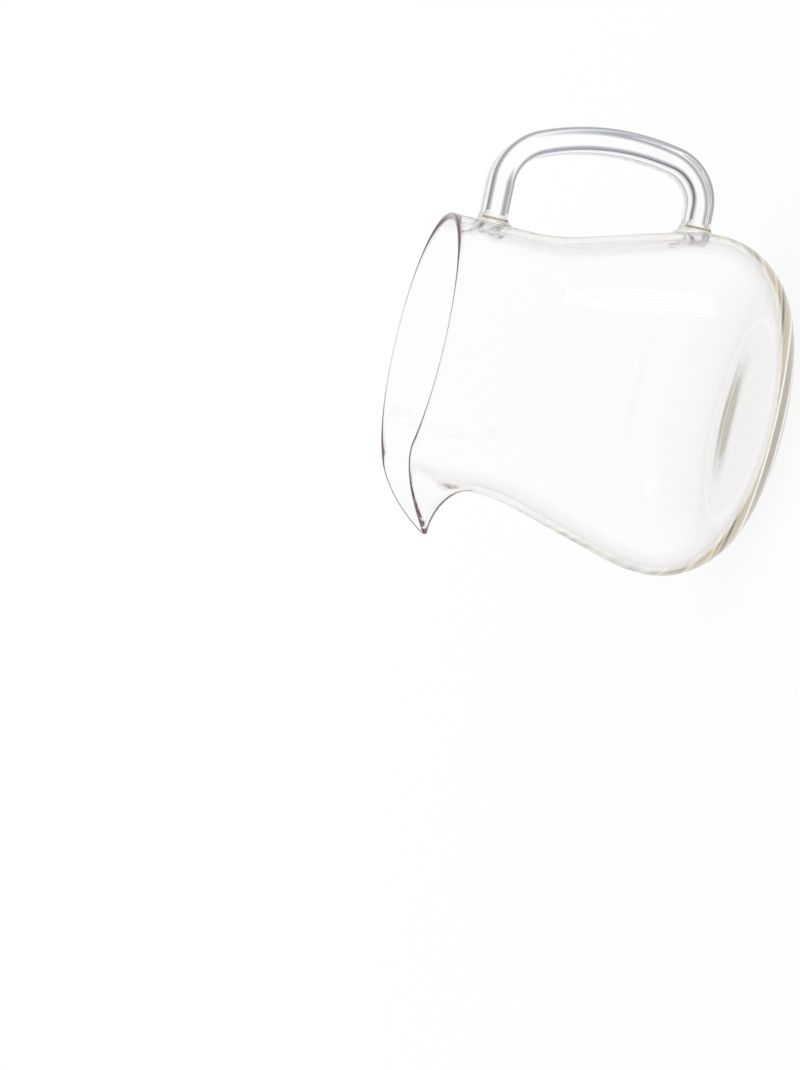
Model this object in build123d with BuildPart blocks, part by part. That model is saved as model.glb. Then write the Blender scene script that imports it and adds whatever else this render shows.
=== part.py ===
"""A clear glass coffee carafe: a blown jug with a wide neck and a drawn pouring spout, and a bent glass
bar for a handle, whose two ends are melted onto the wall.

Millimetres. +Z runs up the axis of the jug and the origin is on that axis, in the plane that it stands on.
The handle points to +X and the spout to -X.
"""

import os
from math import acos, atan2, cos, degrees, hypot, radians, sin, sqrt

from build123d import *

# The jug's outer wall
total_height = 119.5
neck_radius = 45.0
neck_height = 28.5
belly_radius = 59.1
belly_height = 26.1
shoulder_share = 0.32
neck_blend_share = 0.415
foot_radius = 37.6
foot_ring_width = 4.2
punt_rise = 2.0

# The thickness of the glass
wall = 2.4
rim_wall = 2.0
lip_radius = 0.8
floor_thickness = 4.1
floor_rise = 1.2

# The spout, drawn out of the neck while it is hot
spout_reach = 17.9
spout_droop = 14.2
spout_half_angle = 36.0
spout_seam_angle = 4.0
spout_half_sections = 11
spout_tilt = 88.0
tip_rounding_share = 0.05
root_rounding_share = 1.2
curve_share = 0.5
droop_power = 1.36
tilt_power = 0.8
spout_trim = 5.0
fusing_tolerance = 0.01

# The handle, a bar of glass bent into a loop
bar_width = 14.0
bar_thickness = 8.2
bar_corner_radius = 2.2
handle_overhang = 27.5
upper_leg_drop = 16.1
lower_leg_height = 33.6
upper_bend_radius = 17.9
upper_bend_angle = 66.0
back_radius = 80.0
lower_bend_radius = 15.0

# The melted seals between the handle's ends and the wall
seal_length = 3.4
seal_sink = 1.0
seal_flare = 3.4
seal_flare_power = 2.6
seal_steps = 4
seal_root = 6.0

# What follows from these sizes. The side's two arcs are shares of the widest pair that still meet
# smoothly.
neck_base = total_height - neck_height
side_rise = neck_base - belly_height
side_step = belly_radius - neck_radius
widest_arcs = (side_rise**2 + side_step**2) / (2 * side_step)
shoulder_radius = shoulder_share * widest_arcs
neck_blend_radius = neck_blend_share * widest_arcs
handle_reach = belly_radius + handle_overhang
upper_leg_height = total_height - upper_leg_drop


def wall_slope():
    """The angle from upright of the straight wall, tangent to the shoulder below and the neck above."""
    both_arcs = shoulder_radius + neck_blend_radius
    across = both_arcs - side_step
    return degrees(atan2(side_rise, across) - acos(both_arcs / hypot(across, side_rise)))


def side_line(inset):
    """The side of the jug from the belly up to the neck's base, moved in from the outer wall by an inset."""
    shoulder = JernArc((belly_radius - inset, belly_height), (0, 1), shoulder_radius - inset, wall_slope())
    blend = JernArc((neck_radius - inset, neck_base), (0, -1), neck_blend_radius + inset, wall_slope())
    Line(shoulder @ 1, blend @ 1)


def underside_line():
    """The outside from the belly down round the heel to the standing ring, and up under the punt."""
    heel = TangentArc((belly_radius, belly_height), (foot_radius, 0), tangent=(0, -1))
    ring = Line(heel @ 1, (foot_radius - foot_ring_width, 0))
    Spline(ring @ 1, (0, punt_rise), tangents=[(-1, 0), (-1, 0)])


def bowl_line():
    """The inside from the belly down round the thick heel to the slightly raised floor."""
    heel_radius = belly_height - floor_thickness
    heel = JernArc((belly_radius - wall, belly_height), (0, -1), heel_radius, -90)
    Spline(heel @ 1, (0, floor_thickness + floor_rise), tangents=[(-1, 0), (-1, 0)])


def spout_share(angle):
    """The share of the spout's full reach that the rim has at an angle from the spout's middle.

    It falls off in a straight line to each side, rounded at the tip and where it runs back into the rim.
    """
    away = abs(angle) / spout_half_angle
    if away >= 1:
        return 0.0
    rounded = sqrt(away**2 + tip_rounding_share**2) - tip_rounding_share
    share = 1 - rounded / (sqrt(1 + tip_rounding_share**2) - tip_rounding_share)
    return share**2 * (1 + root_rounding_share) / (share + root_rounding_share)


def meridian(angle):
    """The upright half plane through the axis at an angle from -X, with x pointing outwards and y up."""
    outwards = Vector(-cos(radians(angle)), -sin(radians(angle)), 0)
    return Plane(origin=(0, 0, 0), x_dir=outwards, z_dir=outwards.cross(Vector(0, 0, 1)))


def wall_curve(foot, top, along):
    """One face of the neck's wall, which leaves its foot upright and meets its top along a direction."""
    rise = (top - foot).Y * curve_share
    run = (top - foot).dot(along) * curve_share
    return Bezier(foot, foot + Vector(0, rise), top - along * run, top)


def neck_section(share, below):
    """The neck's wall in one meridian plane, up to its rounded edge, with a share of the spout's shape.

    The plain neck goes straight up. The spout's wall bends outwards, and its edge lies further out and
    lower. The section starts below the neck's base by the length given.
    """
    tilt = radians(spout_tilt) * share**tilt_power
    along = Vector(sin(tilt), cos(tilt))
    across = Vector(cos(tilt), -sin(tilt))
    half_rim = rim_wall / 2
    edge_radius = neck_radius - half_rim + spout_reach * share
    edge = Vector(edge_radius, total_height - lip_radius - spout_droop * share**droop_power)
    outer_foot = Vector(neck_radius, neck_base)
    inner_foot = Vector(neck_radius - wall, neck_base)
    drop = Vector(0, below)
    with BuildSketch(Plane.XY) as section:
        with BuildLine():
            outside = wall_curve(outer_foot, edge + across * half_rim, along)
            inside = wall_curve(inner_foot, edge - across * half_rim, along)
            outer_lip = JernArc(outside @ 1, along, lip_radius, 90)
            inner_lip = JernArc(inside @ 1, along, lip_radius, -90)
            Line(outer_lip @ 1, inner_lip @ 1)
            if below > 0:
                Polyline(inner_foot, inner_foot - drop, outer_foot - drop, outer_foot)
            else:
                Line(inner_foot, outer_foot)
        make_face()
    return section.sketch


def make_spout(half_sector):
    """The neck's sector with the spout, lofted through its sections and cut off level at the neck's base."""
    step_angle = half_sector / spout_half_sections
    with BuildPart() as spout:
        for step in range(-spout_half_sections, spout_half_sections + 1):
            angle = step * step_angle
            with BuildSketch(meridian(angle)):
                add(neck_section(spout_share(angle), spout_trim))
        loft()
        split(bisect_by=Plane.XY.offset(neck_base), keep=Keep.TOP)
    return spout.part


# The neck: the plain wall turned about the axis, and the spout's sector in the gap that it leaves
with BuildPart() as neck:
    with BuildSketch(meridian(spout_half_angle + spout_seam_angle)):
        add(neck_section(0, 0))
    revolve(axis=Axis.Z, revolution_arc=360 - 2 * (spout_half_angle + spout_seam_angle))
    add(make_spout(spout_half_angle + spout_seam_angle))

# The bowl: foot, belly, shoulder and sloping side up to the neck's base
with BuildPart() as bowl:
    with BuildSketch(Plane.XZ):
        with BuildLine():
            side_line(0)
            underside_line()
            Line((0, punt_rise), (0, floor_thickness + floor_rise))
            bowl_line()
            side_line(wall)
            Line((neck_radius - wall, neck_base), (neck_radius, neck_base))
        make_face()
    revolve(axis=Axis.Z)

# The jug: bowl and neck in one piece of glass
with BuildPart() as jug:
    add(bowl.part.fuse(neck.part, tol=fusing_tolerance))
jug.part.label = "jug"


def bar_section(grow):
    """The handle's rounded section, grown by the same amount on every side."""
    RectangleRounded(bar_width + 2 * grow, bar_thickness + 2 * grow, bar_corner_radius + grow)


def back_end_angle():
    """The angle, from level outwards, where the long back of the handle goes over into the lower bend."""
    fall = upper_leg_height - lower_leg_height
    upper_fall = upper_bend_radius * (1 - cos(radians(upper_bend_angle)))
    back_fall = back_radius * cos(radians(upper_bend_angle))
    slope = (upper_fall + back_fall + lower_bend_radius - fall) / (back_radius - lower_bend_radius)
    return degrees(acos(slope))


def belly_surface():
    """The jug's outer radius where the lower leg of the handle meets it, on the shoulder's arc."""
    drop = lower_leg_height - belly_height
    return belly_radius - shoulder_radius + sqrt(shoulder_radius**2 - drop**2)


# The handle: two level legs and a long gently curved back, bent from one bar
bend_start = (
    handle_reach
    - bar_thickness / 2
    - upper_bend_radius * sin(radians(upper_bend_angle))
    - back_radius * (1 - sin(radians(upper_bend_angle)))
)
with BuildPart() as handle:
    with BuildLine(Plane.XZ) as bar_path:
        upper_leg = Line((neck_radius + seal_length, upper_leg_height), (bend_start, upper_leg_height))
        upper_bend = JernArc(upper_leg @ 1, (1, 0), upper_bend_radius, -upper_bend_angle)
        back = JernArc(upper_bend @ 1, upper_bend % 1, back_radius, upper_bend_angle - back_end_angle())
        lower_bend = JernArc(back @ 1, back % 1, lower_bend_radius, back_end_angle() - 180)
        Line(lower_bend @ 1, (belly_surface() + seal_length, lower_leg_height))
    with BuildSketch(Plane(origin=upper_leg @ 0, x_dir=(0, 1, 0), z_dir=(1, 0, 0))):
        bar_section(0)
    sweep()
handle.part.label = "handle"


# The jug's outside below the rim as a full solid, which the seals are cut to
with BuildPart() as outside:
    with BuildSketch(Plane.XZ):
        with BuildLine():
            side_line(0)
            underside_line()
            neck_line = Line((neck_radius, neck_base), (neck_radius, total_height))
            Polyline(neck_line @ 1, (0, total_height), (0, punt_rise))
        make_face()
    revolve(axis=Axis.Z)


def melted_foot(wall_radius, height):
    """The foot of one handle end, which flares out from the bar's own section and ends on the wall's curve.

    The widest section lies just inside the wall, so that the flare thins out to an edge on the curved glass.
    """
    sections = []
    for step in range(seal_steps + 1):
        done = step / seal_steps
        distance = wall_radius + seal_length - (seal_length + seal_sink) * done
        with BuildSketch(Plane(origin=(distance, 0, height), x_dir=(0, 1, 0), z_dir=(1, 0, 0))) as section:
            bar_section(seal_flare * done**seal_flare_power)
        sections.append(section.sketch)
    flare = loft(sections)
    extrude(flare.faces().sort_by(Axis.X)[0], amount=seal_root)
    add(outside.part, mode=Mode.SUBTRACT)


# The seal of the upper leg on the neck
with BuildPart() as upper_seal:
    melted_foot(neck_radius, upper_leg_height)
upper_seal.part.label = "upper_seal"

# The seal of the lower leg on the belly
with BuildPart() as lower_seal:
    melted_foot(belly_surface(), lower_leg_height)
lower_seal.part.label = "lower_seal"

os.makedirs("parts", exist_ok=True)
export_step(jug.part, "parts/jug.step")
export_step(handle.part, "parts/handle.step")
export_step(upper_seal.part, "parts/upper_seal.step")
export_step(lower_seal.part, "parts/lower_seal.step")
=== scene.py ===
"""A clear glass coffee carafe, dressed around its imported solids.

The jug is turned on a lathe and its spout is drawn out of the neck. The handle is a bent glass bar, and a
flared seal joins each of its ends to the wall. Sizes are the carafe's own, in millimetres, and MM turns
them into Blender's metres. +Z runs up the jug's axis, +X points to the handle and -X to the spout.
"""

from math import acos, atan2, cos, degrees, hypot, radians, sin, sqrt

import bmesh
import bpy
from mathutils import Matrix, Vector, noise


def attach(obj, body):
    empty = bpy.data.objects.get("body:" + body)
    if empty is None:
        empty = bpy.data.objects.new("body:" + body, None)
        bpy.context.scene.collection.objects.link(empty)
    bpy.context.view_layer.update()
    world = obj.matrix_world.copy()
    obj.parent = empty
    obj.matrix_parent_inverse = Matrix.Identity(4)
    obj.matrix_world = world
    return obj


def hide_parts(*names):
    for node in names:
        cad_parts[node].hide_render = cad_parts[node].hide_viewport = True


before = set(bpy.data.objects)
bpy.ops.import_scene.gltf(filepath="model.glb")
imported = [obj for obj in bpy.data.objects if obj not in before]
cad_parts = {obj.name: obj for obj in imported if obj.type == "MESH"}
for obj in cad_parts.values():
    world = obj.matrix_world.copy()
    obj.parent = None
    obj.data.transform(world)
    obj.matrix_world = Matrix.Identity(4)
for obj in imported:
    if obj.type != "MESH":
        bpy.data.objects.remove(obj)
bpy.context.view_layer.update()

MM = 0.001

# The jug's outside
TOTAL_HEIGHT = 119.5
NECK_RADIUS = 45.0
NECK_BASE = 91.0
BELLY_RADIUS = 59.1
BELLY_HEIGHT = 26.1
SHOULDER_RADIUS = 50.05
BLEND_RADIUS = 64.9
FOOT_RADIUS = 37.6
FOOT_RING = 4.2
PUNT_RISE = 2.0

# The standing ring's soft edges: where the punt ends, one point outside the ring, and the angle round the
# heel at which the heel's own arc then starts
PUNT_EDGE_RISE = 0.02
RING_EDGE_OUT = 0.12
RING_EDGE_RISE = 0.07
HEEL_START_ANGLE = 1.5

# The thickness of the glass
WALL = 2.4
RIM_WALL = 2.0
LIP_DEPTH = 0.8
FLOOR = 4.1
FLOOR_RISE = 1.2

# The spout
SPOUT_REACH = 17.9
SPOUT_DROOP = 14.2
SPOUT_HALF_ANGLE = 36.0
SPOUT_TILT = 88.0
TIP_ROUNDING = 0.05
ROOT_ROUNDING = 1.2
DROOP_POWER = 1.36
TILT_POWER = 0.8
CURVE_SHARE = 0.5

# The handle
BAR_WIDTH = 14.0
BAR_THICKNESS = 8.2
BAR_CORNER = 2.2
HANDLE_REACH = 86.6
UPPER_LEG = 103.4
LOWER_LEG = 33.6
UPPER_BEND = 17.9
UPPER_ANGLE = 66.0
BACK_RADIUS = 80.0
LOWER_BEND = 15.0

# The melted seals
SEAL_LENGTH = 3.4
SEAL_SINK = 1.0
SEAL_FLARE = 3.4
SEAL_POWER = 2.6
SEAL_ROOT = 5.0
JOIN_DEPTH = 0.03

# How finely the meshes are divided
TURNS = 288
NECK_STEPS = 16
LIP_STEPS = 12
SEAL_STEPS = 14
LONG_EDGE = 2.0
MERGE_DISTANCE = 0.001
SHARP_ANGLE = 32.0

# The melted join's place among a piece's two materials, after its glass
JOIN_SLOT = 1

# The waves of worked glass: how deep they are, and how many there are to a metre along each axis
INSIDE_WAVE = 0.10
OUTSIDE_WAVE = 0.03
JUG_WAVES = (34, 34, 22)
BAR_WAVE = 0.05
BAR_WAVES = (60, 90, 60)

# The heights at which the jug's waves are fully grown, and what stays still: the middle of the floor, the
# standing ring, and the handle's legs up to a little way past the lower seal
INSIDE_WAVE_HEIGHT = 20.0
OUTSIDE_WAVE_HEIGHT = 6.0
STILL_RADIUS = 5.0
STILL_HEIGHT = 0.5
STILL_LEG = 1.0

# The glass: how strongly it bends light, what it lets through of a lamp's light, how many ripples and
# painted glow streaks it has to a metre, and how often a ray is mirrored before it ends in the painted glow
# of caught light
GLASS_IOR = 1.47
LAMP_LIGHT_PASSED = (0.95, 0.955, 0.95, 1)
RIPPLES = 45.0
STREAKS = 380.0
MIRRORED_TIMES = 3.5

# The even colour of the painted glow that stands in for light caught in the jug's floor, which gives way to
# painted streaks between two radii
PAINTED_FLOOR_GLOW = (0.44, 0.40, 0.34)
EVEN_RADIUS = 24.0
STREAKED_RADIUS = 42.0

# How the painted glow of caught light is tinted by height, in metres: mauve towards the rim, or not at all
PAINTED_RIM_GLOW_TINTS = ((0.090, (1, 1, 1)), (0.106, (0.50, 0.40, 0.68)))
NO_TINTS = ((0.0, (1, 1, 1)), (1.0, (1, 1, 1)))

# The room, in metres: a pale floor, whose glow grows to plain white between two distances from the carafe,
# and a ceiling, whose tints go by how far up a ray points
GROUND_RADIUS = 6.0
GROUND_COLOUR = (0.93, 0.93, 0.93, 1)
NEAR_GLOW = 0.86
NEAR_DISTANCE = 0.15
FAR_DISTANCE = 0.9
CEILING_TINTS = ((0.30, (1, 1, 1)), (0.75, (0.68, 0.65, 0.61)))

# The lamps, in metres: a row of narrow upright strips on an arc round the carafe, all aimed at its belly
STRIPS = 6
FIRST_STRIP_ANGLE = -34.5
STRIP_ANGLE_STEP = 3.0
STRIP_DISTANCE = 0.92
STRIP_HEIGHT = 0.29
STRIP_SIZE = (0.014, 0.46)
STRIP_WATTS = 0.04
STRIP_AIM = (0, 0, 0.05)

# The camera: a long lens, its place, and its three axes, turned so that the carafe is seen tipped over
SENSOR_WIDTH = 36
LENS = 117.76
CAMERA_PLACE = (-174.653, -1143.862, 337.048)
CAMERA_RIGHT = (0.20212605, -0.20737924, -0.95715146)
CAMERA_UP = (0.97484878, -0.05108966, 0.21693251)
CAMERA_BACK = (-0.09388784, -0.97692564, 0.19183685)


def new_material(name):
    """An empty material, with its node tree and its output node."""
    material = bpy.data.materials.new(name)
    material.use_nodes = True
    tree = material.node_tree
    tree.nodes.clear()
    return material, tree, tree.nodes.new("ShaderNodeOutputMaterial")


def add_node(tree, kind, **settings):
    """A new node with its settings."""
    node = tree.nodes.new(kind)
    for setting, value in settings.items():
        setattr(node, setting, value)
    return node


def add_ramp(tree, value, tints, easing="LINEAR"):
    """The colour that a value takes from a ramp of tints, each of which is given with its step."""
    node = tree.nodes.new("ShaderNodeValToRGB")
    ramp = node.color_ramp
    ramp.interpolation = easing
    while len(ramp.elements) < len(tints):
        ramp.elements.new(0.5)
    for element, (step, tint) in zip(ramp.elements, tints):
        element.position = step
        element.color = (*tint, 1)
    tree.links.new(value, node.inputs["Fac"])
    return node.outputs["Color"]


def rise_between(tree, value, low, high, start=0.0):
    """A share that goes from its start to 1 while a value goes from low to high."""
    node = tree.nodes.new("ShaderNodeMapRange")
    node.inputs["From Min"].default_value = low
    node.inputs["From Max"].default_value = high
    node.inputs["To Min"].default_value = start
    tree.links.new(value, node.inputs["Value"])
    return node.outputs["Result"]


def multiply_tints(tree, first, second):
    """Two tints multiplied, and the socket for the share of the second."""
    node = add_node(tree, "ShaderNodeMix", data_type="RGBA", blend_type="MULTIPLY")
    node.inputs["Factor"].default_value = 1.0
    tree.links.new(first, node.inputs[6])
    tree.links.new(second, node.inputs[7])
    return node.outputs[2], node.inputs["Factor"]


def mix_shaders(tree, share, first, second):
    """Two shaders in one, by the share of the second."""
    node = tree.nodes.new("ShaderNodeMixShader")
    tree.links.new(share, node.inputs["Fac"])
    tree.links.new(first, node.inputs[1])
    tree.links.new(second, node.inputs[2])
    return node.outputs["Shader"]


def add_noise(tree, place, scale, detail):
    """A soft random pattern."""
    node = tree.nodes.new("ShaderNodeTexNoise")
    node.inputs["Scale"].default_value = scale
    node.inputs["Detail"].default_value = detail
    tree.links.new(place, node.inputs["Vector"])
    return node.outputs["Fac"]


def add_bump(tree, pattern, depth):
    """The bump of a pattern, with its depth in millimetres."""
    node = tree.nodes.new("ShaderNodeBump")
    node.inputs["Strength"].default_value = 1.0
    node.inputs["Distance"].default_value = depth * MM
    tree.links.new(pattern, node.inputs["Height"])
    return node


def length_of(tree, vector):
    """The length of a vector."""
    node = add_node(tree, "ShaderNodeVectorMath", operation="LENGTH")
    tree.links.new(vector, node.inputs[0])
    return node.outputs["Value"]


def any_ray(tree, *kinds):
    """1 for a ray of any of the kinds, and 0 for every other ray."""
    path = tree.nodes.new("ShaderNodeLightPath")
    seen = path.outputs[kinds[0]]
    for kind in kinds[1:]:
        either = add_node(tree, "ShaderNodeMath", operation="MAXIMUM")
        tree.links.new(seen, either.inputs[0])
        tree.links.new(path.outputs[kind], either.inputs[1])
        seen = either.outputs["Value"]
    return seen


def painted_edge_shade(tree, edge_shade_tints, line, line_shade_tints):
    """Painted shade in the glass's colour, which deepens where its surface turns away, and again along a
    line.

    A line of painted shade, such as the lip or the bar's corners, is marked by an attribute of the mesh: its
    name and the two values between which the line's painted shade comes in. Every tint is given with its
    step, from facing to edge-on.
    """
    attribute, start, end = line
    mark = add_node(tree, "ShaderNodeAttribute", attribute_name=attribute)
    facing = tree.nodes.new("ShaderNodeLayerWeight")
    facing.inputs["Blend"].default_value = 0.5
    all_over = add_ramp(tree, facing.outputs["Facing"], edge_shade_tints, "EASE")
    on_line = add_ramp(tree, facing.outputs["Facing"], line_shade_tints)
    tint, line_share = multiply_tints(tree, all_over, on_line)
    tree.links.new(rise_between(tree, mark.outputs["Fac"], start, end), line_share)
    return tint


def worked_surface(tree, place, draw, draw_scale, ripple):
    """The uneven surface of worked glass: fine draw lines and wider ripples, each with its depth."""
    stretch = tree.nodes.new("ShaderNodeMapping")
    stretch.inputs["Scale"].default_value = draw_scale
    tree.links.new(place, stretch.inputs["Vector"])
    lines = add_bump(tree, add_noise(tree, stretch.outputs["Vector"], scale=1.0, detail=3.0), draw)
    ripples = add_bump(tree, add_noise(tree, place, scale=RIPPLES, detail=1.0), ripple)
    tree.links.new(lines.outputs["Normal"], ripples.inputs["Normal"])
    return ripples.outputs["Normal"]


def painted_caught_glow(tree, place, painted_glow_tints, glow_height_tints):
    """A painted glow that stands in for light mirrored to and fro in the thick glass: even in the floor, and
    then in streaks.

    The streaks run round the axis, because they go by radius and height alone.
    """
    flat = add_node(tree, "ShaderNodeVectorMath", operation="MULTIPLY")
    flat.inputs[1].default_value = (1, 1, 0)
    tree.links.new(place, flat.inputs[0])
    radius = length_of(tree, flat.outputs["Vector"])
    split = tree.nodes.new("ShaderNodeSeparateXYZ")
    tree.links.new(place, split.inputs["Vector"])
    height = split.outputs["Z"]
    rings = tree.nodes.new("ShaderNodeCombineXYZ")
    tree.links.new(radius, rings.inputs["X"])
    tree.links.new(height, rings.inputs["Y"])
    streaks = add_noise(tree, rings.outputs["Vector"], scale=STREAKS, detail=2.0)

    streaked = add_node(tree, "ShaderNodeMix", data_type="RGBA")
    streaked.inputs[6].default_value = (*PAINTED_FLOOR_GLOW, 1)
    past_floor = rise_between(tree, radius, EVEN_RADIUS * MM, STREAKED_RADIUS * MM)
    tree.links.new(past_floor, streaked.inputs["Factor"])
    tree.links.new(add_ramp(tree, streaks, painted_glow_tints), streaked.inputs[7])
    tint, _ = multiply_tints(tree, streaked.outputs[2], add_ramp(tree, height, glow_height_tints))
    glow = tree.nodes.new("ShaderNodeEmission")
    tree.links.new(tint, glow.inputs["Color"])
    return glow.outputs["Emission"]


def clear_glass(name, edge_shade_tints, line, line_shade_tints, painted_glow_tints, glow_height_tints, draw, draw_scale, ripple):
    """Clear glass, with painted shade at its edges, and a painted glow in its thick parts that stands in for
    caught light.

    Rays from the lamps pass straight through it, so that it throws the pale shadow of clear glass.
    """
    glass, tree, out = new_material(name)
    place = tree.nodes.new("ShaderNodeTexCoord").outputs["Object"]
    body = tree.nodes.new("ShaderNodeBsdfPrincipled")
    body.inputs["Transmission Weight"].default_value = 1.0
    body.inputs["Roughness"].default_value = 0.0
    body.inputs["IOR"].default_value = GLASS_IOR
    # Painted shade in the base colour: darker towards the edges and along the marked lines
    tree.links.new(painted_edge_shade(tree, edge_shade_tints, line, line_shade_tints), body.inputs["Base Color"])
    tree.links.new(worked_surface(tree, place, draw, draw_scale, ripple), body.inputs["Normal"])

    # Past a few mirrorings a ray ends in a painted glow, which stands in for the light it would still find
    path = tree.nodes.new("ShaderNodeLightPath")
    mirrored = add_node(tree, "ShaderNodeMath", operation="GREATER_THAN")
    mirrored.inputs[1].default_value = MIRRORED_TIMES
    tree.links.new(path.outputs["Glossy Depth"], mirrored.inputs[0])
    painted_glow = painted_caught_glow(tree, place, painted_glow_tints, glow_height_tints)
    seen = mix_shaders(tree, mirrored.outputs["Value"], body.outputs["BSDF"], painted_glow)
    through = tree.nodes.new("ShaderNodeBsdfTransparent")
    through.inputs["Color"].default_value = LAMP_LIGHT_PASSED
    lit = mix_shaders(tree, path.outputs["Is Shadow Ray"], seen, through.outputs["BSDF"])
    tree.links.new(lit, out.inputs["Surface"])
    return glass


def melted_join():
    """The inside of a seal, where two pieces have melted into one and no surface is left to see."""
    join, tree, out = new_material("melted_join")
    nothing = tree.nodes.new("ShaderNodeBsdfTransparent")
    nothing.inputs["Color"].default_value = (1, 1, 1, 1)
    tree.links.new(nothing.outputs["BSDF"], out.inputs["Surface"])
    return join


def finished(bm, name, materials):
    """The object of a finished mesh: smooth, with a sharp edge only where the glass has one."""
    mesh = bpy.data.meshes.new(name)
    bm.to_mesh(mesh)
    bm.free()
    for material in materials:
        mesh.materials.append(material)
    mesh.shade_smooth()
    mesh.set_sharp_from_angle(angle=radians(SHARP_ANGLE))
    piece = bpy.data.objects.new(name, mesh)
    bpy.context.scene.collection.objects.link(piece)
    return piece


def arc(centre, radius, start, end, steps):
    """Points of the section on an arc between two angles in degrees, both ends among them."""
    turns = [radians(start + (end - start) * i / steps) for i in range(steps + 1)]
    return [(centre[0] + radius * cos(t), centre[1] + radius * sin(t)) for t in turns]


def eased(start, end, steps):
    """Points on a curve that is level at both of its ends."""
    points = []
    for i in range(steps + 1):
        t = i / steps
        across = start[0] + (end[0] - start[0]) * t
        up = start[1] + (end[1] - start[1]) * t * t * (3 - 2 * t)
        points.append((across, up))
    return points


def between(start, end, steps):
    """Points on a straight line at equal steps, without its two ends."""
    points = []
    for i in range(1, steps):
        across = start[0] + (end[0] - start[0]) * i / steps
        up = start[1] + (end[1] - start[1]) * i / steps
        points.append((across, up))
    return points


def wall_slope():
    """The angle from upright of the straight part of the side."""
    both = SHOULDER_RADIUS + BLEND_RADIUS
    across = both - (BELLY_RADIUS - NECK_RADIUS)
    up = NECK_BASE - BELLY_HEIGHT
    return degrees(atan2(up, across) - acos(both / hypot(across, up)))


def side_points(inset):
    """The side from the belly up to the neck's base, moved inwards by an inset."""
    slope = wall_slope()
    shoulder_centre = (BELLY_RADIUS - SHOULDER_RADIUS, BELLY_HEIGHT)
    blend_centre = (NECK_RADIUS + BLEND_RADIUS, NECK_BASE)
    shoulder = arc(shoulder_centre, SHOULDER_RADIUS - inset, 0, slope, steps=12)
    blend = arc(blend_centre, BLEND_RADIUS + inset, 180 + slope, 180, steps=12)
    return shoulder + between(shoulder[-1], blend[0], steps=14) + blend


def heel_points(inset):
    """The outside round the heel, from just past the standing ring up to the belly."""
    step = BELLY_RADIUS - FOOT_RADIUS
    radius = (step**2 + BELLY_HEIGHT**2) / (2 * step)
    centre = (BELLY_RADIUS - radius, BELLY_HEIGHT)
    start = -degrees(atan2(BELLY_HEIGHT, FOOT_RADIUS - centre[0]))
    return arc(centre, radius - inset, start + HEEL_START_ANGLE, 0, steps=30)


def underside_points():
    """The underside from the axis out over the punt to the standing ring, with its softly rounded edges."""
    ring_inside = FOOT_RADIUS - FOOT_RING
    punt = eased((0, PUNT_RISE), (ring_inside, PUNT_EDGE_RISE), steps=18)
    ring = [(ring_inside + FOOT_RING * share, 0.0) for share in (0.2, 0.5, 0.8)]
    return punt + ring + [(FOOT_RADIUS + RING_EDGE_OUT, RING_EDGE_RISE)]


def bowl_points():
    """The inside from below the belly round the thick heel, and over the raised floor to the axis."""
    radius = BELLY_HEIGHT - FLOOR
    centre = (BELLY_RADIUS - WALL - radius, BELLY_HEIGHT)
    heel = arc(centre, radius, 0, -90, steps=26)
    floor = eased(heel[-1], (0, FLOOR + FLOOR_RISE), steps=16)
    return heel[1:] + floor[1:]


def spout_share(angle):
    """The share of the spout's full reach that the rim has at an angle in degrees from the spout's middle."""
    away = abs(angle) / SPOUT_HALF_ANGLE
    if away >= 1:
        return 0.0
    rounded = sqrt(away**2 + TIP_ROUNDING**2) - TIP_ROUNDING
    share = 1 - rounded / (sqrt(1 + TIP_ROUNDING**2) - TIP_ROUNDING)
    return share**2 * (1 + ROOT_ROUNDING) / (share + ROOT_ROUNDING)


def neck_point(rise, side, share):
    """A point of the neck's section, as its radius and height, with a share of the spout's shape.

    Rise goes from 0 at the neck's base to 1 under the lip, and on to 2 round the lip. Side is 1 on the
    outside and -1 on the inside.
    """
    tilt = radians(SPOUT_TILT) * share**TILT_POWER
    along = Vector((sin(tilt), cos(tilt)))
    across = Vector((cos(tilt), -sin(tilt)))
    half = RIM_WALL / 2
    edge_radius = NECK_RADIUS - half + SPOUT_REACH * share
    edge_height = TOTAL_HEIGHT - LIP_DEPTH - SPOUT_DROOP * share**DROOP_POWER
    edge = Vector((edge_radius, edge_height)) - along * (half - LIP_DEPTH)
    if rise > 1:
        turn = radians(180 * (rise - 1))
        return edge + across * half * cos(turn) + along * half * sin(turn)
    foot = Vector((NECK_RADIUS if side > 0 else NECK_RADIUS - WALL, NECK_BASE))
    top = edge + across * half * side
    above_foot = foot + Vector((0, (top - foot).y * CURVE_SHARE))
    below_top = top - along * ((top - foot).dot(along) * CURVE_SHARE)
    a, b = 1 - rise, rise
    return foot * a**3 + above_foot * 3 * a * a * b + below_top * 3 * a * b * b + top * b**3


def neck_points():
    """The plain neck's section up its outside, round the lip and down its inside, with rise and side."""
    rises = [i / NECK_STEPS for i in range(1, NECK_STEPS + 1)]
    lip_rises = [1 + i / LIP_STEPS for i in range(1, LIP_STEPS)]
    outside = [(*neck_point(rise, 1, 0), rise, 1) for rise in rises]
    lip = [(*neck_point(rise, 0, 0), rise, 0) for rise in lip_rises]
    inside = [(*neck_point(rise, -1, 0), rise, -1) for rise in reversed(rises)]
    return outside + lip + inside


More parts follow.
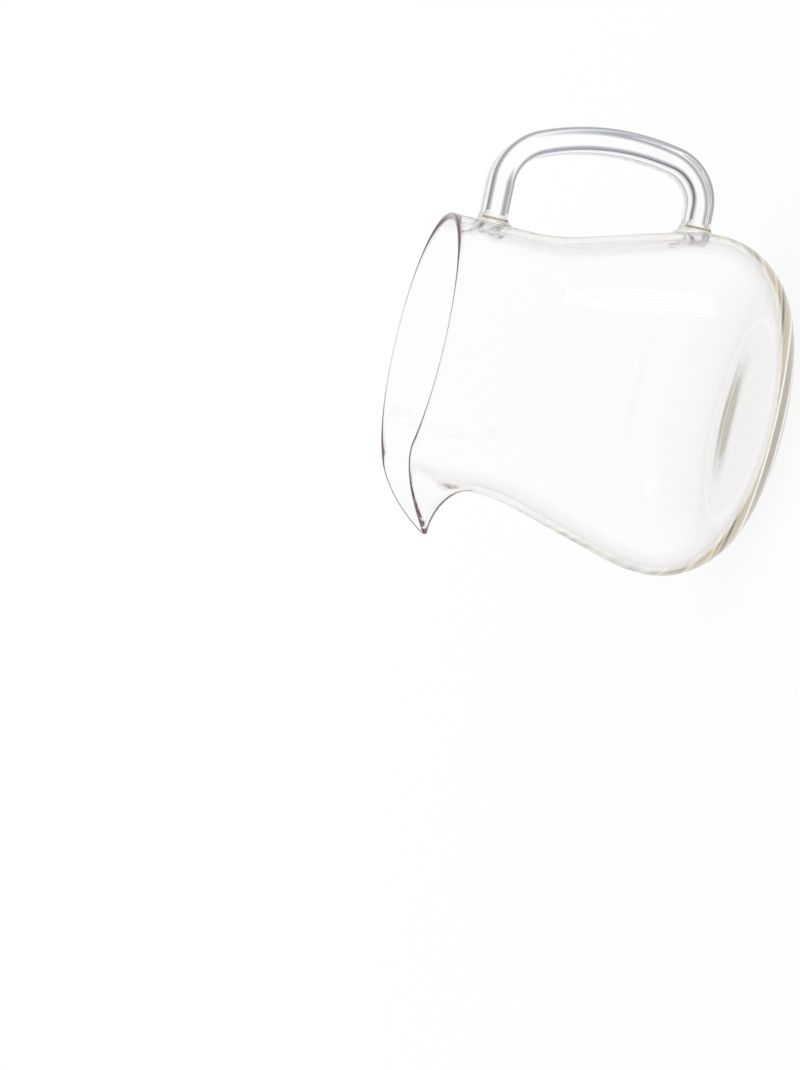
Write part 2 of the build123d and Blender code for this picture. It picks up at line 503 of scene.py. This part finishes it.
def lathe(bm, section):
    """Turns a section about the axis. Points are radius and height, with rise and side on the neck.

    It gives the two layers that mark the rise and side of every point.
    """
    rise = bm.verts.layers.float.new("rise")
    side = bm.verts.layers.float.new("side")
    line = []
    for point in section:
        vert = bm.verts.new((point[0] * MM, 0, point[1] * MM))
        vert[rise], vert[side] = point[2:] if len(point) > 2 else (0, 0)
        line.append(vert)
    edges = [bm.edges.new(pair) for pair in zip(line, line[1:])]
    bmesh.ops.spin(
        bm,
        geom=line + edges,
        cent=(0, 0, 0),
        axis=(0, 0, 1),
        angle=radians(360),
        steps=TURNS,
        use_merge=True,
        use_duplicate=False,
    )
    bmesh.ops.remove_doubles(bm, verts=bm.verts, dist=MERGE_DISTANCE * MM)
    bmesh.ops.recalc_face_normals(bm, faces=bm.faces)
    return rise, side


def draw_spout(bm, rise, side):
    """Draws the spout out of the neck: each upright line of the neck takes the section that its angle has."""
    for vert in bm.verts:
        if vert[rise] <= 0:
            continue
        angle = degrees(atan2(-vert.co.y, -vert.co.x))
        share = spout_share(angle)
        if share > 0:
            radius, height = neck_point(vert[rise], vert[side], share)
            out = Vector((vert.co.x, vert.co.y, 0)).normalized()
            vert.co = out * radius * MM + Vector((0, 0, height * MM))


def wave_at(place, waves):
    """How high the waves stand at a place, from -1 to 1."""
    return noise.noise(place * Vector(waves))


def blown_waves(bm):
    """The slight unevenness of blown glass, which is stronger on the inside than on the mould's side."""
    bm.normal_update()
    moves = []
    for vert in bm.verts:
        out = Vector((vert.co.x, vert.co.y, 0))
        if out.length < STILL_RADIUS * MM or vert.co.z < STILL_HEIGHT * MM:
            continue
        inside = vert.normal.dot(out) < 0
        depth = INSIDE_WAVE if inside else OUTSIDE_WAVE
        full_height = INSIDE_WAVE_HEIGHT if inside else OUTSIDE_WAVE_HEIGHT
        grown = min(1, vert.co.z / MM / full_height)
        moves.append((vert, vert.normal * wave_at(vert.co, JUG_WAVES) * depth * grown * MM))
    for vert, move in moves:
        vert.co += move


def make_jug(materials):
    """The jug, from the punt's middle round the outside, over the lip and down to the floor's middle."""
    outside = underside_points() + heel_points(0) + side_points(0)[1:]
    inside = side_points(WALL)[::-1] + bowl_points()
    bm = bmesh.new()
    rise, side = lathe(bm, outside + neck_points() + inside)
    draw_spout(bm, rise, side)
    blown_waves(bm)
    return finished(bm, "glass_jug", materials)


def make_core(material):
    """A solid core just inside the jug's outside, which the seals are cut to."""
    side = heel_points(JOIN_DEPTH) + side_points(JOIN_DEPTH)[1:]
    rises = [(TOTAL_HEIGHT - NECK_BASE) * i / NECK_STEPS for i in range(1, NECK_STEPS + 1)]
    neck = [(NECK_RADIUS - JOIN_DEPTH, NECK_BASE + rise) for rise in rises]
    bm = bmesh.new()
    lathe(bm, [(0, side[0][1])] + side + neck + [(0, TOTAL_HEIGHT)])
    return finished(bm, "core", [material])


def outwards(vert, tall):
    """The direction, across the bar, in which its rounded section faces at a point."""
    core_width, core_height = BAR_WIDTH / 2 - BAR_CORNER, BAR_THICKNESS / 2 - BAR_CORNER
    y, z = vert.co.y / MM, vert.co.z / MM - tall
    near = Vector((max(-core_width, min(core_width, y)), max(-core_height, min(core_height, z))))
    return (Vector((y, z)) - near).normalized()


def bar_outline(bm, centre, tall):
    """The handle's rounded section as one face, upright across +X, with its outline's edges.

    Each point is marked with how far it is round one of the corners, from 0 on the flats to 1 half way round.
    """
    # The corner mark also places the painted dark lines along the bar's corners
    corner = bm.verts.layers.float.new("corner")
    wide, high = BAR_WIDTH / 2, BAR_THICKNESS / 2
    corners = ((-wide, -high), (wide, -high), (wide, high), (-wide, high))
    verts = [bm.verts.new((centre * MM, y * MM, (tall + z) * MM)) for y, z in corners]
    bm.faces.new(verts)
    bmesh.ops.bevel(
        bm,
        geom=verts,
        offset=BAR_CORNER * MM,
        segments=7,
        profile=0.5,
        affect="VERTICES",
        material=-1,
    )
    flats = [edge for edge in bm.edges if edge.calc_length() > LONG_EDGE * MM]
    bmesh.ops.subdivide_edges(bm, edges=flats, cuts=5)
    for vert in bm.verts:
        out = outwards(vert, tall)
        vert[corner] = min(1, 2 * abs(out.x * out.y))
    return list(bm.faces), list(bm.edges)


def swell(verts, amount, tall):
    """Moves an outline outwards by the same amount all round."""
    for vert in verts:
        out = outwards(vert, tall)
        vert.co += Vector((0, out.x, out.y)) * amount * MM


def extruded(bm, edges, length):
    """Extrudes an outline by a length along +X, and gives the new outline's edges and points."""
    made = bmesh.ops.extrude_edge_only(bm, edges=edges)["geom"]
    verts = [part for part in made if isinstance(part, bmesh.types.BMVert)]
    bmesh.ops.translate(bm, verts=verts, vec=Vector((length * MM, 0, 0)))
    new_edges = [part for part in made if isinstance(part, bmesh.types.BMEdge)]
    return [edge for edge in new_edges if all(vert in verts for vert in edge.verts)], verts


def straight(bm, edges, length, steps):
    """Extrudes an outline along +X in equal steps, and gives the outline at its end."""
    for step in range(steps):
        edges, _ = extruded(bm, edges, length / steps)
    return edges


def bend(bm, edges, centre, angle, steps):
    """Turns an outline about a level axis across the handle, and gives the outline at its end."""
    verts = list(dict.fromkeys(vert for edge in edges for vert in edge.verts))
    made = bmesh.ops.spin(
        bm,
        geom=edges + verts,
        cent=(centre[0] * MM, 0, centre[1] * MM),
        axis=(0, 1, 0),
        angle=radians(angle),
        steps=steps,
        use_merge=False,
        use_duplicate=False,
    )["geom_last"]
    return [part for part in made if isinstance(part, bmesh.types.BMEdge)]


def direction(angle):
    """The direction in the handle's plane at an angle from upright, towards +X."""
    return Vector((sin(radians(angle)), cos(radians(angle))))


def back_end_angle():
    """The angle, from upright, at which the handle's back goes over into the lower bend."""
    fall = UPPER_LEG - LOWER_LEG
    upper_fall = UPPER_BEND * (1 - cos(radians(UPPER_ANGLE)))
    back_fall = BACK_RADIUS * cos(radians(UPPER_ANGLE))
    return degrees(acos((upper_fall + back_fall + LOWER_BEND - fall) / (BACK_RADIUS - LOWER_BEND)))


def belly_surface():
    """The jug's outer radius at the height of the lower leg."""
    drop = LOWER_LEG - BELLY_HEIGHT
    return BELLY_RADIUS - SHOULDER_RADIUS + sqrt(SHOULDER_RADIUS**2 - drop**2)


def bar_waves(bm, still):
    """The slight unevenness of the bent bar, everywhere beyond a distance from the jug's axis."""
    bm.normal_update()
    for vert in bm.verts:
        if vert.co.x / MM > still:
            vert.co += vert.normal * wave_at(vert.co, BAR_WAVES) * BAR_WAVE * MM


def make_handle(materials):
    """The handle, from the upper seal round its three bends to the lower seal."""
    bend_across = UPPER_BEND * sin(radians(UPPER_ANGLE))
    back_across = BACK_RADIUS * (1 - sin(radians(UPPER_ANGLE)))
    bend_start = HANDLE_REACH - BAR_THICKNESS / 2 - bend_across - back_across
    upper_centre = Vector((bend_start, UPPER_LEG - UPPER_BEND))
    back_centre = upper_centre + direction(UPPER_ANGLE) * (UPPER_BEND - BACK_RADIUS)
    lower_centre = back_centre + direction(back_end_angle()) * (BACK_RADIUS - LOWER_BEND)
    leg_start = NECK_RADIUS + SEAL_LENGTH
    leg_end = belly_surface() + SEAL_LENGTH

    bm = bmesh.new()
    caps, outline = bar_outline(bm, leg_start, UPPER_LEG)
    outline = straight(bm, outline, bend_start - leg_start, steps=5)
    outline = bend(bm, outline, upper_centre, UPPER_ANGLE, steps=26)
    outline = bend(bm, outline, back_centre, back_end_angle() - UPPER_ANGLE, steps=44)
    outline = bend(bm, outline, lower_centre, 180 - back_end_angle(), steps=30)
    outline = straight(bm, outline, leg_end - lower_centre.x, steps=3)
    caps += bmesh.ops.contextual_create(bm, geom=outline)["faces"]
    bmesh.ops.recalc_face_normals(bm, faces=bm.faces)
    for cap in caps:
        cap.material_index = JOIN_SLOT
    bar_waves(bm, leg_end + STILL_LEG)
    return finished(bm, "glass_handle", materials)


def melted_foot(name, wall_radius, tall, materials):
    """The flared foot of one end of the handle, melted out over the wall, with its root still uncut."""
    bm = bmesh.new()
    caps, outline = bar_outline(bm, wall_radius + SEAL_LENGTH, tall)
    length = SEAL_LENGTH + SEAL_SINK
    grown = 0
    for step in range(1, SEAL_STEPS + 1):
        outline, verts = extruded(bm, outline, -length / SEAL_STEPS)
        flare = SEAL_FLARE * (step / SEAL_STEPS) ** SEAL_POWER
        swell(verts, flare - grown, tall)
        grown = flare
    outline = straight(bm, outline, -SEAL_ROOT, steps=1)
    bmesh.ops.contextual_create(bm, geom=outline)
    bmesh.ops.recalc_face_normals(bm, faces=bm.faces)
    for cap in caps:
        cap.material_index = JOIN_SLOT
    return finished(bm, name, materials)


def cut(piece, cutter):
    """Cuts one piece by another. The cut's faces keep the cutter's material."""
    knife = piece.modifiers.new("cut", "BOOLEAN")
    knife.operation = "DIFFERENCE"
    knife.solver = "EXACT"
    knife.object = cutter
    knife.material_mode = "TRANSFER"
    bpy.context.view_layer.update()
    seen = piece.evaluated_get(bpy.context.evaluated_depsgraph_get())
    mesh = bpy.data.meshes.new_from_object(seen)
    piece.modifiers.clear()
    piece.data = mesh


def melt_onto(jug, seal, core, join):
    """Ends a seal at the core, and takes its sunk root out of the jug, so that the two share one face."""
    cut(seal, core)
    knife = seal.copy()
    knife.data = seal.data.copy()
    knife.data.materials.clear()
    knife.data.materials.append(join)
    bpy.context.scene.collection.objects.link(knife)
    cut(jug, knife)
    bpy.data.objects.remove(knife)


def white_material():
    """The floor's material: white to the camera and in the glass, with the carafe's soft shadow kept."""
    white, tree, out = new_material("white_floor")
    matt = tree.nodes.new("ShaderNodeBsdfDiffuse")
    matt.inputs["Color"].default_value = GROUND_COLOUR
    glow = tree.nodes.new("ShaderNodeEmission")
    glow.inputs["Color"].default_value = (1, 1, 1, 1)
    distance = length_of(tree, tree.nodes.new("ShaderNodeTexCoord").outputs["Object"])
    share = add_node(tree, "ShaderNodeMath", operation="MULTIPLY")
    seen = any_ray(tree, "Is Camera Ray", "Is Glossy Ray", "Is Transmission Ray")
    tree.links.new(seen, share.inputs[0])
    tree.links.new(rise_between(tree, distance, NEAR_DISTANCE, FAR_DISTANCE, NEAR_GLOW), share.inputs[1])
    lit = mix_shaders(tree, share.outputs["Value"], matt.outputs["BSDF"], glow.outputs["Emission"])
    tree.links.new(lit, out.inputs["Surface"])
    return white


def pale_floor():
    """The plain floor under the carafe."""
    bm = bmesh.new()
    bmesh.ops.create_circle(bm, cap_ends=True, segments=96, radius=GROUND_RADIUS)
    mesh = bpy.data.meshes.new("floor")
    bm.to_mesh(mesh)
    bm.free()
    mesh.materials.append(white_material())
    floor = bpy.data.objects.new("floor", mesh)
    bpy.context.scene.collection.objects.link(floor)


def white_room():
    """The room's light: plain white all round, with a darker ceiling that only the glass picks up."""
    room = bpy.data.worlds.new("white_room")
    bpy.context.scene.world = room
    room.use_nodes = True
    tree = room.node_tree
    tree.nodes.clear()
    out = tree.nodes.new("ShaderNodeOutputWorld")
    place = tree.nodes.new("ShaderNodeTexCoord")
    split = tree.nodes.new("ShaderNodeSeparateXYZ")
    tree.links.new(place.outputs["Generated"], split.inputs["Vector"])
    plain = tree.nodes.new("ShaderNodeBackground")
    plain.inputs["Color"].default_value = (1, 1, 1, 1)
    glass_sees = tree.nodes.new("ShaderNodeBackground")
    tree.links.new(add_ramp(tree, split.outputs["Z"], CEILING_TINTS), glass_sees.inputs["Color"])
    in_glass = any_ray(tree, "Is Glossy Ray", "Is Transmission Ray")
    lit = mix_shaders(tree, in_glass, plain.outputs["Background"], glass_sees.outputs["Background"])
    tree.links.new(lit, out.inputs["Surface"])


def strip_lamp(name, place):
    """A soft upright strip lamp that is aimed at the carafe."""
    lamp = bpy.data.lights.new(name, "AREA")
    lamp.shape = "RECTANGLE"
    lamp.size, lamp.size_y = STRIP_SIZE
    lamp.energy = STRIP_WATTS
    holder = bpy.data.objects.new(name, lamp)
    holder.location = place
    holder.rotation_euler = (Vector(STRIP_AIM) - Vector(place)).to_track_quat("-Z", "Y").to_euler()
    bpy.context.scene.collection.objects.link(holder)


glass_jug = clear_glass(
    "clear_jug_glass",
    # Painted shade: darker where the glass turns edge-on, and a painted dark line round the lip
    edge_shade_tints=(
        (0.52, (0.99, 0.99, 0.988)),
        (0.69, (0.88, 0.86, 0.868)),
        (0.81, (0.85, 0.84, 0.83)),
        (1.0, (0.18, 0.15, 0.14)),
    ),
    line=("rise", 0.985, 1.01),
    line_shade_tints=((0.22, (1, 1, 1)), (0.66, (0.33, 0.24, 0.29))),
    # Painted glow in the thick glass: streaked, and mauve towards the rim
    painted_glow_tints=((0.40, (0.07, 0.055, 0.04)), (0.61, (0.76, 0.65, 0.43))),
    glow_height_tints=PAINTED_RIM_GLOW_TINTS,
    draw=0.010,
    draw_scale=(420, 420, 18),
    ripple=0.05,
)
glass_bar = clear_glass(
    "clear_bar_glass",
    # Painted shade: darker where the bar turns edge-on, with painted dark lines along its corners
    edge_shade_tints=((0.5, (0.988, 0.988, 0.988)), (0.85, (0.88, 0.85, 0.86)), (1.0, (0.20, 0.20, 0.22))),
    line=("corner", 0.45, 1.0),
    line_shade_tints=((0.0, (0.09, 0.10, 0.13)), (1.0, (0.09, 0.10, 0.13))),
    # Painted glow in the thick glass
    painted_glow_tints=((0.36, (0.34, 0.34, 0.35)), (0.64, (0.84, 0.83, 0.81))),
    glow_height_tints=NO_TINTS,
    draw=0.012,
    draw_scale=(260, 260, 40),
    ripple=0.10,
)
glass_seal = clear_glass(
    "clear_seal_glass",
    # Painted shade: darker where the seal turns edge-on and along its corners
    edge_shade_tints=((0.4, (0.985, 0.985, 0.980)), (0.7, (0.75, 0.74, 0.70)), (1.0, (0.30, 0.28, 0.22))),
    line=("corner", 0.1, 0.8),
    line_shade_tints=((0.0, (0.75, 0.74, 0.70)), (1.0, (0.75, 0.74, 0.70))),
    # Painted glow in the thick glass
    painted_glow_tints=((0.36, (0.40, 0.38, 0.33)), (0.64, (0.86, 0.82, 0.73))),
    glow_height_tints=NO_TINTS,
    draw=0.02,
    draw_scale=(300, 300, 300),
    ripple=0.35,
)
join = melted_join()

jug = make_jug([glass_jug, join])
core = make_core(join)
handle = make_handle([glass_bar, join])
upper_seal = melted_foot("glass_upper_seal", NECK_RADIUS, UPPER_LEG, [glass_seal, join])
lower_seal = melted_foot("glass_lower_seal", belly_surface(), LOWER_LEG, [glass_seal, join])
melt_onto(jug, upper_seal, core, join)
melt_onto(jug, lower_seal, core, join)
bpy.data.objects.remove(core)

for piece, nodes in (
    (jug, "jug"),
    (handle, "handle"),
    (upper_seal, "upper_seal"),
    (lower_seal, "lower_seal"),
):
    piece.data.set_sharp_from_angle(angle=radians(SHARP_ANGLE))
    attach(piece, "root")
    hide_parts(nodes)

pale_floor()
white_room()
for strip in range(STRIPS):
    around = radians(FIRST_STRIP_ANGLE + STRIP_ANGLE_STEP * strip)
    place = (STRIP_DISTANCE * cos(around), STRIP_DISTANCE * sin(around), STRIP_HEIGHT)
    strip_lamp(f"strip_{strip}", place)

lens = bpy.data.cameras.new("camera")
lens.sensor_fit = "AUTO"
lens.sensor_width = SENSOR_WIDTH
lens.lens = LENS
lens.clip_start = 0.01
camera = bpy.data.objects.new("camera", lens)
turn = Matrix((CAMERA_RIGHT, CAMERA_UP, CAMERA_BACK)).transposed().to_4x4()
camera.matrix_world = Matrix.Translation(Vector(CAMERA_PLACE) * MM) @ turn
bpy.context.scene.collection.objects.link(camera)
bpy.context.scene.camera = camera
bpy.context.scene.view_settings.view_transform = "Standard"
